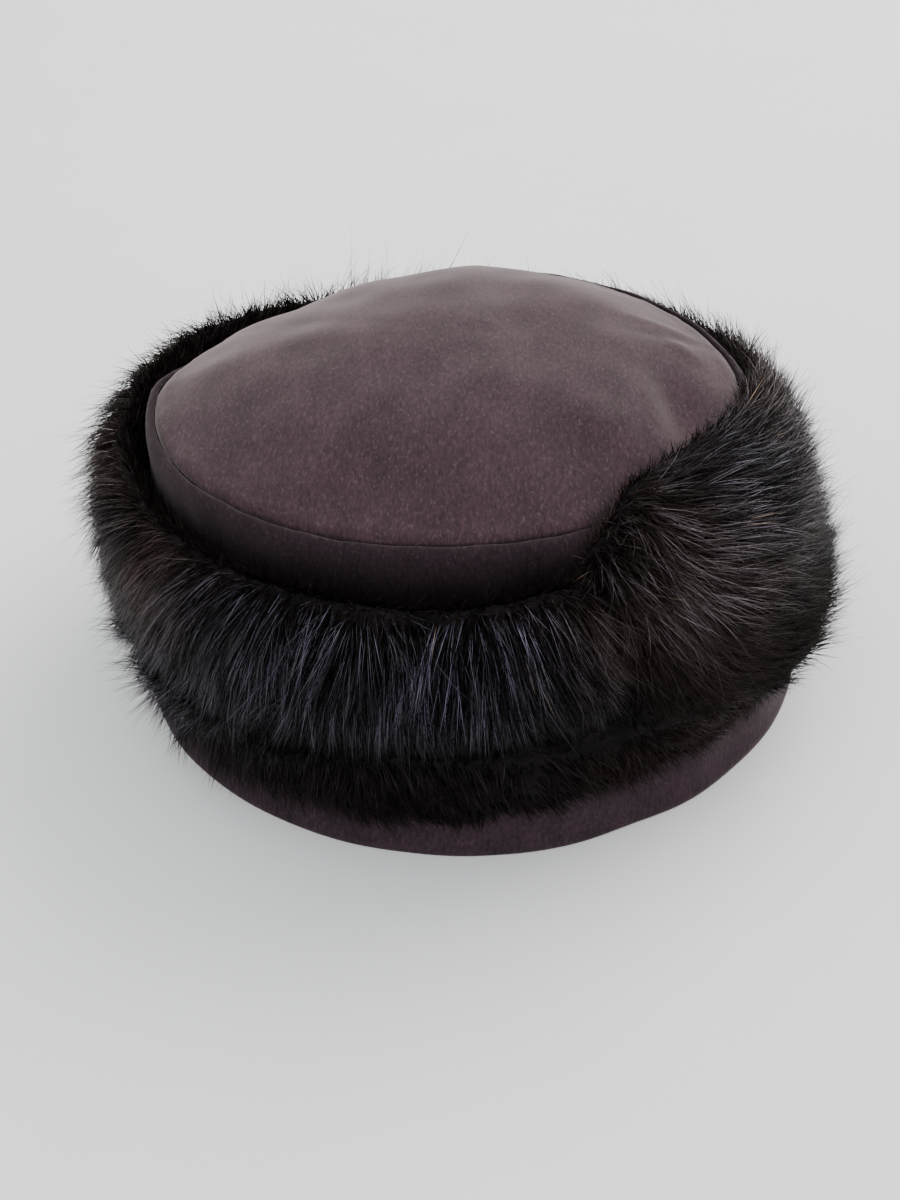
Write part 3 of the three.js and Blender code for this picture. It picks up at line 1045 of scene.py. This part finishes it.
def bend_copies(fur, rng, shape, radius, control, end):
    t = shape[:, 2][None, :, None]
    path = fur.places[:, None] * (1 - t) ** 2 + control[:, None] * 2 * t * (1 - t) + end[:, None] * t**2
    along = unit(end - fur.places)
    side = unit(np.cross(along, fur.normals + 0.01))
    other = np.cross(along, side)
    girth = radius * rng.uniform(*girth_range, fur.count)[:, None, None]
    fuller = girth * (1 + fuller_middle * t * (1 - t))
    path = path + (side[:, None] * shape[None, :, 0:1] + other[:, None] * shape[None, :, 1:2]) * fuller
    path[:, :, 2] = np.maximum(path[:, :, 2], lowest_hair + flat_share * shape[None, :, 2])
    path[:, :, 2] = np.minimum(path[:, :, 2], highest_hair - flat_share * (1 - shape[None, :, 2]))
    return path


def mesh_of(name, path, faces):
    count, per_hair = path.shape[:2]
    mesh = bpy.data.meshes.new(name)
    mesh.vertices.add(count * per_hair)
    mesh.vertices.foreach_set("co", path.reshape(-1))
    corners = (faces[None] + (np.arange(count) * per_hair)[:, None, None]).reshape(-1)
    mesh.loops.add(len(corners))
    mesh.loops.foreach_set("vertex_index", corners)
    mesh.polygons.add(len(corners) // 3)
    mesh.polygons.foreach_set("loop_start", np.arange(0, len(corners), 3))
    mesh.polygons.foreach_set("loop_total", np.full(len(corners) // 3, 3))
    mesh.update(calc_edges=True)
    mesh.validate()
    mesh.polygons.foreach_set("use_smooth", np.ones(len(mesh.polygons), dtype=bool))
    return mesh


print("a hair is at most", (1 + fuller_middle / 4) * girth_range[1], "times its radius")

# %% [markdown]
# ## What the materials read
# No two hairs have the same colour, and one material has to serve a whole piece. So each hair carries
# four values for it: along goes from root to tip, tone sorts the hairs from dark to pale, outer says
# whether it is on the outer side, and the last how much blue gleam is painted on it. Hairs near the
# lower edge get a darker tone and less gloss, as painted shade. The top of the cuff at the left is brown,
# and a spot at the flap's front gets the painted blue gleam again.

# %% Give each hair its tone
flap_shade = 0.042
edge_shade_curve = 1.3
deepest_shade = 0.75
spot_angle, spot_width, spot_gleam = 330, 15, 0.6
spot_from, spot_length = 0.07, 0.02
brown_from, brown_length, brown_share = 0.058, 0.016, 0.9
brown_angle, brown_turn = 242, -22


def tone_of(fur, rng, lock, lock_count, signed):
    """The hair's place from 0, the darkest, to 1, the palest, a little by lock and mostly by chance."""
    lock_tone = rng.random(lock_count)[lock]
    tone = 0.25 * lock_tone + 0.75 * rng.random(fur.count)
    tone = np.argsort(np.argsort(tone)) / fur.count
    # Painted shade: hairs near the lower edge, and low on the flap, get a darker tone.
    shaded = (1 - fur.up) ** edge_shade_curve * (1 - fur.at_edge)
    if signed:
        shaded = np.clip(1 - fur.above / flap_shade, 0, 1)
    return tone * (1 - deepest_shade * shaded)


# Painted blue gleam: how much of the window's blue gleam is painted into each hair, by angle, less at the
# top of the cuff at the left, and again in a spot at the flap's front.
def painted_blue_gleam_of(fur):
    height = fur.places[:, 2]
    brown_top = rise_from(height, brown_from, brown_length) * rise_from(fur.degrees, brown_angle, brown_turn)
    painted_blue_gleam = smooth_reading(painted_blue_gleam_by_angle, fur.degrees) * (1 - brown_share * brown_top)
    spot = spot_gleam * bell(fur.degrees, spot_angle, spot_width)
    return painted_blue_gleam + spot * rise_from(height, spot_from, spot_length)


def set_attribute(mesh, label, values):
    attribute = mesh.attributes.new(label, "FLOAT", "POINT")
    attribute.data.foreach_set("value", values.astype(np.float32))


print("hairs in the deepest shade keep", 1 - deepest_shade, "of their tone")

# %% [markdown]
# ## All steps for one piece of fur
# The steps are put together in one function. The radius is that of the root, the length that of a usual
# hair, and the rest says how the piece differs: how strongly the locks close, how loose, fluffy and
# drooping the hairs are, whether its tables count angles from -180, and whether a table makes the hairs
# longer.

# %% Grow hairs as one mesh


def grow_hairs(name, pelt, hair, count, seed, flow, length, radius, wanted, clump=0.55, clump_size=14,
               spread=0.22, fluff=0.35, droop=0.25, signed=False, longer=None, taller=0.7):
    rng = np.random.default_rng(seed)
    fur = read_roots(pelt, count, rng, wanted, flow, signed)
    size = lengths_of(fur, rng, length, taller, longer)
    first, last = directions_of(fur, rng, spread, fluff, droop, taller)
    lock_count, lock, leader = lock_of(fur, rng, clump_size)
    control, end = gather(fur, rng, clump, leader, size, first, last)
    shape, faces = hair
    mesh = mesh_of(name, bend_copies(fur, rng, shape, radius, control, end), faces)
    per_hair = len(shape)
    set_attribute(mesh, "along", np.tile(shape[:, 2], count))
    set_attribute(mesh, "tone", np.repeat(tone_of(fur, rng, lock, lock_count, signed), per_hair))
    set_attribute(mesh, "outer", np.repeat(np.clip(fur.outer + 0.3 * fur.at_join, 0, 1), per_hair))
    set_attribute(mesh, "painted_blue_gleam", np.repeat(painted_blue_gleam_of(fur), per_hair))
    piece = bpy.data.objects.new(name, mesh)
    bpy.context.scene.collection.objects.link(piece)
    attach(piece, "root")
    print(name, count, "hairs,", len(mesh.polygons), "faces")
    return piece


# %% [markdown]
# ## Where hairs grow
# Hairs grow on the outside of the fur and over its ridge, and more of them where the flap starts. The
# side that faces the crown is bare from a little way down, and the underside nearly so, because hardly
# anyone sees them. The guard hairs are sparser on the ridge, where the short fur shows.

# %% Say where hairs grow
inner_hair_from, inner_hair_fade = 0.066, 0.012
thicker_inside = 2.6
thick_join_angle, thick_join_width, thicker_join = 300, 9, 1.5
facing_in = -0.25
underside_normal, underside_share = -0.85, 0.15
front_angles = (200, 300)
band_top = 0.036


def grows_on_cuff(places, normals):
    height = places[:, 2]
    inside = thicker_inside * rise_from(height, inner_hair_from, inner_hair_fade)
    share = np.where(facing_out(places, normals) < facing_in, inside, 1)
    at_join = bell(angle_round(places), thick_join_angle, thick_join_width) * rise_from(height, 0.07, 0.01)
    below = np.where(normals[:, 2] < underside_normal, underside_share, 1)
    return share * (1 + thicker_join * at_join) * below


def guard_on_cuff(places, normals):
    outer = rise_from(outer_share(places, normals), 0.35, 0.5)
    return grows_on_cuff(places, normals) * (0.16 + 0.84 * outer)


def wisps_on_cuff(places, normals):
    at_back = smooth_reading(back_height_by_angle, angle_round(places))
    on_ridge = bell(outer_share(places, normals), 0.3, 0.3)
    return guard_on_cuff(places, normals) * (1 + 3 * at_back * on_ridge)


def front_only(places, normals):
    degrees = angle_round(places)
    return guard_on_cuff(places, normals) * ((degrees > front_angles[0]) & (degrees < front_angles[1]))


def left_only(places, normals):
    return guard_on_cuff(places, normals) * (angle_round(places) <= front_angles[0])


def grows_on_band(places, normals):
    return np.where((facing_out(places, normals) > 0.0) & (places[:, 2] < band_top), 1.0, 0.0)


print("the inner side has hair from", inner_hair_from, "up, the band up to", band_top)

# %% [markdown]
# ## The hairs of the cuff, the flap and the band
# Real fur has three kinds of hair, and so have the cuff and the flap: a dense short underfur, long guard
# hairs that gather in locks, and a few fine wisps that stand off the outline. The low band has one kind.
# Each kind is a mesh of its own, because a mesh is kept under 200,000 faces. At the left of the cuff the
# guard hairs have one cut only, to stay under that.

# %% Grow the fur
underfur = dict(hair=short_hair, length=0.0105, radius=0.00017, wanted=grows_on_cuff, clump=0.45,
                clump_size=8, spread=0.34, fluff=0.75)
wisp = dict(hair=guard_hair, length=0.0245, radius=0.00008, clump=0.2, droop=0.1)

cuff_short = grow_hairs("fur_cuff_underfur", cuff_pelt, count=16000, seed=1, flow=cuff_flow, **underfur)
cuff_front = grow_hairs("fur_cuff_hair_front", cuff_pelt, guard_hair, 12400, seed=2, flow=cuff_flow,
                        length=0.0175, radius=0.00012, wanted=front_only, clump=0.42, spread=0.2)
cuff_left = grow_hairs("fur_cuff_hair_left", cuff_pelt, short_hair, 8500, seed=3, flow=cuff_flow,
                       length=0.0165, radius=0.00013, wanted=left_only, clump=0.38, spread=0.26)
cuff_wisps = grow_hairs("fur_cuff_wisps", cuff_pelt, count=1500, seed=7, flow=cuff_flow,
                        wanted=wisps_on_cuff, spread=0.38, taller=2.2, **wisp)
flap_short = grow_hairs("fur_flap_underfur", flap_pelt, count=12500, seed=4, flow=flap_flow, signed=True,
                        **underfur)
flap_long = grow_hairs("fur_flap_hair", flap_pelt, guard_hair, 11000, seed=5, flow=flap_flow,
                       length=0.0175, radius=0.00012, wanted=guard_on_cuff, clump=0.4, spread=0.26,
                       signed=True)
flap_wisps = grow_hairs("fur_flap_wisps", flap_pelt, count=1000, seed=8, flow=flap_flow,
                        wanted=guard_on_cuff, spread=0.42, signed=True, **wisp)
band_short = grow_hairs("fur_band_hair", band_pelt, short_hair, 9500, seed=6, flow=band_flow,
                        length=0.0088, radius=0.00015, wanted=grows_on_band, clump=0.32, clump_size=10,
                        spread=0.28, longer=band_length_by_angle)

# %% [markdown]
# ## Helpers for materials
# Every material is built from the same few nodes: a noise, a colour ramp that gives a value its colours,
# a mix and a bump. Each gets a helper, so that a material below reads as a list of its layers.

# %% Make the material helpers
black = (0, 0, 0)
white = (1, 1, 1)


def grey(value):
    return (value, value, value)


def new_material(name):
    material = bpy.data.materials.new(name)
    material.use_nodes = True
    nodes = material.node_tree.nodes
    return material, nodes, material.node_tree.links, nodes["Principled BSDF"]


def object_place(nodes):
    return nodes.new("ShaderNodeTexCoord").outputs["Object"]


def add_attribute(nodes, label):
    node = nodes.new("ShaderNodeAttribute")
    node.attribute_name = label
    return node.outputs["Fac"]


def add_noise(nodes, links, coordinates, scale, detail=2, stretch=None):
    source = coordinates
    if stretch:
        mapping = nodes.new("ShaderNodeMapping")
        mapping.inputs["Scale"].default_value = stretch
        links.new(coordinates, mapping.inputs["Vector"])
        source = mapping.outputs["Vector"]
    noise = nodes.new("ShaderNodeTexNoise")
    noise.inputs["Scale"].default_value = scale
    noise.inputs["Detail"].default_value = detail
    links.new(source, noise.inputs["Vector"])
    return noise.outputs["Fac"]


def add_ramp(nodes, links, value, *stops):
    ramp = nodes.new("ShaderNodeValToRGB")
    while len(ramp.color_ramp.elements) < len(stops):
        ramp.color_ramp.elements.new(0.5)
    for element, (position, colour) in zip(ramp.color_ramp.elements, stops):
        element.position = position
        element.color = (*colour, 1)
    links.new(value, ramp.inputs["Fac"])
    return ramp.outputs["Color"]


def add_mix(nodes, links, share, first, second, blend="MIX"):
    mix = nodes.new("ShaderNodeMix")
    mix.data_type = "RGBA"
    mix.blend_type = blend
    factor, a, b = mix.inputs[0], mix.inputs[6], mix.inputs[7]
    for socket, value in ((factor, share), (a, first), (b, second)):
        if isinstance(value, bpy.types.NodeSocket):
            links.new(value, socket)
        elif isinstance(value, tuple):
            socket.default_value = (*value, 1)
        else:
            socket.default_value = value
    return mix.outputs[2]


def multiply(nodes, links, first, second, share=1.0):
    return add_mix(nodes, links, share, first, second, "MULTIPLY")


def add_bump(nodes, links, shader, value, strength, distance, after=None):
    bump = nodes.new("ShaderNodeBump")
    bump.inputs["Strength"].default_value = strength
    bump.inputs["Distance"].default_value = distance
    links.new(value, bump.inputs["Height"])
    if after:
        links.new(after, bump.inputs["Normal"])
    links.new(bump.outputs["Normal"], shader.inputs["Normal"])
    return bump.outputs["Normal"]


print("grey of a half:", grey(0.5))

# %% [markdown]
# ## The cloth
# The cloth is a fine plum-brown one with a short nap: it is matt, lighter where it is seen at a grazing
# angle, a little mottled, and it has pale specks and faint strokes where it was brushed. A picture of
# cloth would need a layout and would repeat, so noises in Object coordinates make it. The side and the
# brim get darker copies of it, with less sheen, as painted shade, and the side gets more painted shade in
# its colour and its sheen towards its foot, where the fur shades it.

# %% Make the cloth materials
cloth_roughness = 0.92
cloth_specular = 0.2
sheen_tint = (1, 0.86, 0.82, 1)
side_foot_shade = (0.12, 0.10, 0.11)


def shade_below(nodes, links, place, low, high):
    """Painted shade: dark at the low height, and clear from the high one up."""
    split = nodes.new("ShaderNodeSeparateXYZ")
    links.new(place, split.inputs[0])
    reach = nodes.new("ShaderNodeMapRange")
    reach.inputs["From Min"].default_value = low
    reach.inputs["From Max"].default_value = high
    links.new(split.outputs["Z"], reach.inputs["Value"])
    return add_ramp(nodes, links, reach.outputs["Result"], (0, side_foot_shade), (1, white))


def make_cloth(name, dark, light, speck, sheen, darker_below=None):
    material, nodes, links, shader = new_material(name)
    place = object_place(nodes)
    mottle = add_noise(nodes, links, place, scale=55, detail=3)
    nap = add_noise(nodes, links, place, scale=1100, detail=3, stretch=(1, 0.4, 0.5))
    fibre = add_noise(nodes, links, place, scale=3600, detail=2)
    dust = add_noise(nodes, links, place, scale=1500, detail=1, stretch=(1, 0.5, 0.6))
    brushed = add_noise(nodes, links, place, scale=120, detail=3, stretch=(1, 0.35, 0.5))
    colour = add_ramp(nodes, links, mottle, (0.3, dark), (0.72, light))
    napped = add_ramp(nodes, links, nap, (0.32, grey(0.6)), (0.7, grey(1.4)))
    colour = multiply(nodes, links, colour, napped, 0.8)
    strokes = add_ramp(nodes, links, brushed, (0.35, grey(0.88)), (0.68, grey(1.22)))
    colour = multiply(nodes, links, colour, strokes)
    specks = add_ramp(nodes, links, dust, (0.56, black), (0.80, grey(0.36)))
    colour = add_mix(nodes, links, specks, colour, speck)
    if darker_below:
        shade = shade_below(nodes, links, place, *darker_below)
        colour = multiply(nodes, links, colour, shade)
        # Painted shade on the sheen too, fading it towards the side's foot.
        links.new(multiply(nodes, links, shade, grey(sheen)), shader.inputs["Sheen Weight"])
    links.new(colour, shader.inputs["Base Color"])
    shader.inputs["Roughness"].default_value = cloth_roughness
    shader.inputs["Specular IOR Level"].default_value = cloth_specular
    shader.inputs["Sheen Weight"].default_value = sheen
    shader.inputs["Sheen Roughness"].default_value = 0.4
    shader.inputs["Sheen Tint"].default_value = sheen_tint
    bumped = add_bump(nodes, links, shader, nap, strength=0.22, distance=0.0003)
    add_bump(nodes, links, shader, fibre, strength=0.3, distance=0.0002, after=bumped)
    print(name, len(nodes), "nodes")
    return material


crown_cloth = make_cloth("plum_nap_cloth", (0.030, 0.0148, 0.0198), (0.038, 0.0196, 0.0250),
                         speck=(0.12, 0.09, 0.09), sheen=0.38)
# Painted shade: the side is a darker copy of the crown's cloth, with less sheen, and darker still towards
# its foot.
side_cloth = make_cloth("plum_side_cloth_shaded", (0.014, 0.007, 0.010), (0.019, 0.0095, 0.0135),
                        speck=(0.07, 0.05, 0.05), sheen=0.14, darker_below=(0.076, 0.0965))
# Painted shade: the brim is a darker copy of the crown's cloth, with less sheen.
brim_cloth = make_cloth("plum_brim_cloth_shaded", (0.023, 0.012, 0.018), (0.029, 0.016, 0.022),
                        speck=(0.08, 0.06, 0.06), sheen=0.18)

# %% [markdown]
# ## The hair
# The fur is nearly black with glossy guard hairs. It has broad brown patches where no blue gleam is
# painted, a share of paler hairs, partly paler in colour and partly painted glints and sheen, brown or
# painted blue by the place, and a very few straw-coloured ones. The ridge is warmer, and the gap beside
# the crown gets painted shade in its colour and its gloss. A hair shader would suit curves, but these
# hairs are meshes, so the usual shader takes its colours and its gloss from the four values that each
# hair carries.

# %% Make the hair materials
straw_colour = (0.28, 0.18, 0.10)
gap_shade_colour = (0.32, 0.30, 0.30)
warm_gleam = (1, 0.84, 0.82)
blue_gleam = (0.86, 0.84, 1)
dull = 0.05


def make_hair_material(name, root, tip, patch, pale_brown, pale_blue_gleam, warm, roughness, gleam):
    """Root and tip are the usual colours. Patch is for brown patches, warm for the ridge."""
    material, nodes, links, shader = new_material(name)
    place = object_place(nodes)
    along, tone, outer, painted_blue_gleam = (add_attribute(nodes, label) for label in ("along", "tone", "outer", "painted_blue_gleam"))
    colour = add_ramp(nodes, links, along, (0.05, root), (0.6, tip))
    brown = add_ramp(nodes, links, painted_blue_gleam, (0.1, grey(0.85)), (0.6, black))
    broad = add_noise(nodes, links, place, scale=24, detail=2)
    broad = add_ramp(nodes, links, broad, (0.38, black), (0.56, white))
    colour = add_mix(nodes, links, multiply(nodes, links, brown, broad), colour, patch)
    darkness = add_ramp(nodes, links, tone, (0.0, grey(0.25)), (0.7, white))
    colour = multiply(nodes, links, colour, darkness)
    # Paler hairs in patches: partly hairs of a paler colour, partly painted glints and sheen; the pale blue
    # is painted gleam.
    pale = add_ramp(nodes, links, tone, (0.80, black), (0.97, white))
    patches = add_noise(nodes, links, place, scale=32, detail=2)
    pale_and_sheen_patches = add_ramp(nodes, links, patches, (0.36, grey(0.2)), (0.68, white))
    light = add_mix(nodes, links, painted_blue_gleam, pale_brown, pale_blue_gleam)
    colour = add_mix(nodes, links, multiply(nodes, links, pale, pale_and_sheen_patches), colour, light)
    straw = add_ramp(nodes, links, tone, (0.9988, black), (0.9990, white))
    colour = add_mix(nodes, links, straw, colour, straw_colour)
    inwards = add_ramp(nodes, links, outer, (0.15, grey(0.9)), (0.75, black))
    colour = add_mix(nodes, links, inwards, colour, warm)
    # Painted shade: the side that faces the crown is darkened, in colour and in gloss.
    gap_shade = add_ramp(nodes, links, outer, (0.02, gap_shade_colour), (0.24, white))
    links.new(multiply(nodes, links, colour, gap_shade), shader.inputs["Base Color"])
    shine = add_ramp(nodes, links, tone, (0.5, grey(dull)), (0.97, grey(gleam)))
    links.new(multiply(nodes, links, shine, gap_shade), shader.inputs["Specular IOR Level"])
    # Painted reflection colour: the gloss is tinted blue where the blue gleam is painted.
    tint = add_mix(nodes, links, painted_blue_gleam, warm_gleam, blue_gleam)
    links.new(tint, shader.inputs["Specular Tint"])
    shader.inputs["Roughness"].default_value = roughness
    print(name, len(nodes), "nodes")
    return material


guard_fur = make_hair_material(
    "black_brown_guard_hair", root=(0.005, 0.003, 0.0027), tip=(0.0038, 0.0026, 0.0030),
    patch=(0.062, 0.040, 0.034), pale_brown=(0.200, 0.145, 0.135), pale_blue_gleam=(0.165, 0.152, 0.240),
    warm=(0.018, 0.012, 0.012), roughness=0.28, gleam=0.9,
)
flap_fur = make_hair_material(
    "brown_flap_guard_hair", root=(0.006, 0.0036, 0.0032), tip=(0.004, 0.0028, 0.0030),
    patch=(0.034, 0.022, 0.019), pale_brown=(0.140, 0.112, 0.132), pale_blue_gleam=(0.16, 0.15, 0.20),
    warm=(0.032, 0.022, 0.022), roughness=0.28, gleam=0.9,
)
short_fur = make_hair_material(
    "brown_underfur", root=(0.008, 0.005, 0.004), tip=(0.010, 0.006, 0.0055),
    patch=(0.030, 0.018, 0.015), pale_brown=(0.050, 0.034, 0.030), pale_blue_gleam=(0.036, 0.031, 0.042),
    warm=(0.022, 0.013, 0.012), roughness=0.6, gleam=0.3,
)

# %% [markdown]
# ## The undercoat, and each piece's material
# The undercoat only shows as the dark between the hairs. It is a rough, nearly black surface with a bump
# of fine tufts. Last, every piece of the hat gets its material.

# %% Make the undercoat and give out the materials
undercoat, nodes, links, shader = new_material("undercoat")
tufts = add_noise(nodes, links, object_place(nodes), scale=260, detail=4)
tuft_colour = add_ramp(nodes, links, tufts, (0.35, (0.0015, 0.0012, 0.0013)), (0.7, (0.007, 0.0045, 0.0042)))
links.new(tuft_colour, shader.inputs["Base Color"])
shader.inputs["Roughness"].default_value = 0.9
shader.inputs["Specular IOR Level"].default_value = 0.15
add_bump(nodes, links, shader, tufts, strength=0.8, distance=0.002)

for material, pieces in (
    (crown_cloth, [crown_top]),
    (side_cloth, [crown_side]),
    (brim_cloth, [brim]),
    (undercoat, [cuff_pelt, flap_pelt, band_pelt]),
    (short_fur, [cuff_short, flap_short, band_short]),
    (guard_fur, [cuff_front, cuff_left, cuff_wisps]),
    (flap_fur, [flap_long, flap_wisps]),
):
    for piece in pieces:
        piece.data.materials.clear()
        piece.data.materials.append(material)
    print(material.name, "on", [piece.name for piece in pieces])

# %% [markdown]
# ## The table and the light
# The hat stands on a plain pale sheet of paper. The room is bright all round, a large soft light behind
# and to the right stands for the window, and a weak one high at the left fills the shadows. A large area
# light gives the soft shadow in front of the hat, which a small one would draw with a hard edge.

# %% Set the stage
room_colour = (0.95, 0.97, 1, 1)
room_strength = 1.34

deselect_all()
bpy.ops.mesh.primitive_plane_add(size=6, location=(0, 0, 0))
table = bpy.context.object
table.name = "table"
paper, nodes, links, shader = new_material("pale_paper")
grain = add_noise(nodes, links, object_place(nodes), scale=9, detail=4)
paper_colour = add_ramp(nodes, links, grain, (0.3, (0.88, 0.88, 0.87)), (0.7, (0.91, 0.91, 0.90)))
links.new(paper_colour, shader.inputs["Base Color"])
shader.inputs["Roughness"].default_value = 0.8
shader.inputs["Specular IOR Level"].default_value = 0.2
table.data.materials.append(paper)

world = bpy.data.worlds.new("soft_room")
bpy.context.scene.world = world
world.use_nodes = True
room = world.node_tree.nodes["Background"]
room.inputs["Color"].default_value = room_colour
room.inputs["Strength"].default_value = room_strength


def add_light(name, place, target, size, watts, colour):
    data = bpy.data.lights.new(name, "AREA")
    data.shape = "SQUARE"
    data.size = size
    data.energy = watts
    data.color = colour
    light = bpy.data.objects.new(name, data)
    light.location = place
    light.rotation_euler = (Vector(target) - Vector(place)).to_track_quat("-Z", "Y").to_euler()
    bpy.context.scene.collection.objects.link(light)
    print(name, watts, "W, at", place)


add_light("window_light", (1.2, 1.15, 1.5), (0.1, 0.1, 0.05), size=1.8, watts=50, colour=(1, 0.985, 0.96))
add_light("high_fill", (-0.9, -0.2, 2.0), (0, 0, 0.05), size=1.6, watts=8, colour=(0.95, 0.97, 1))
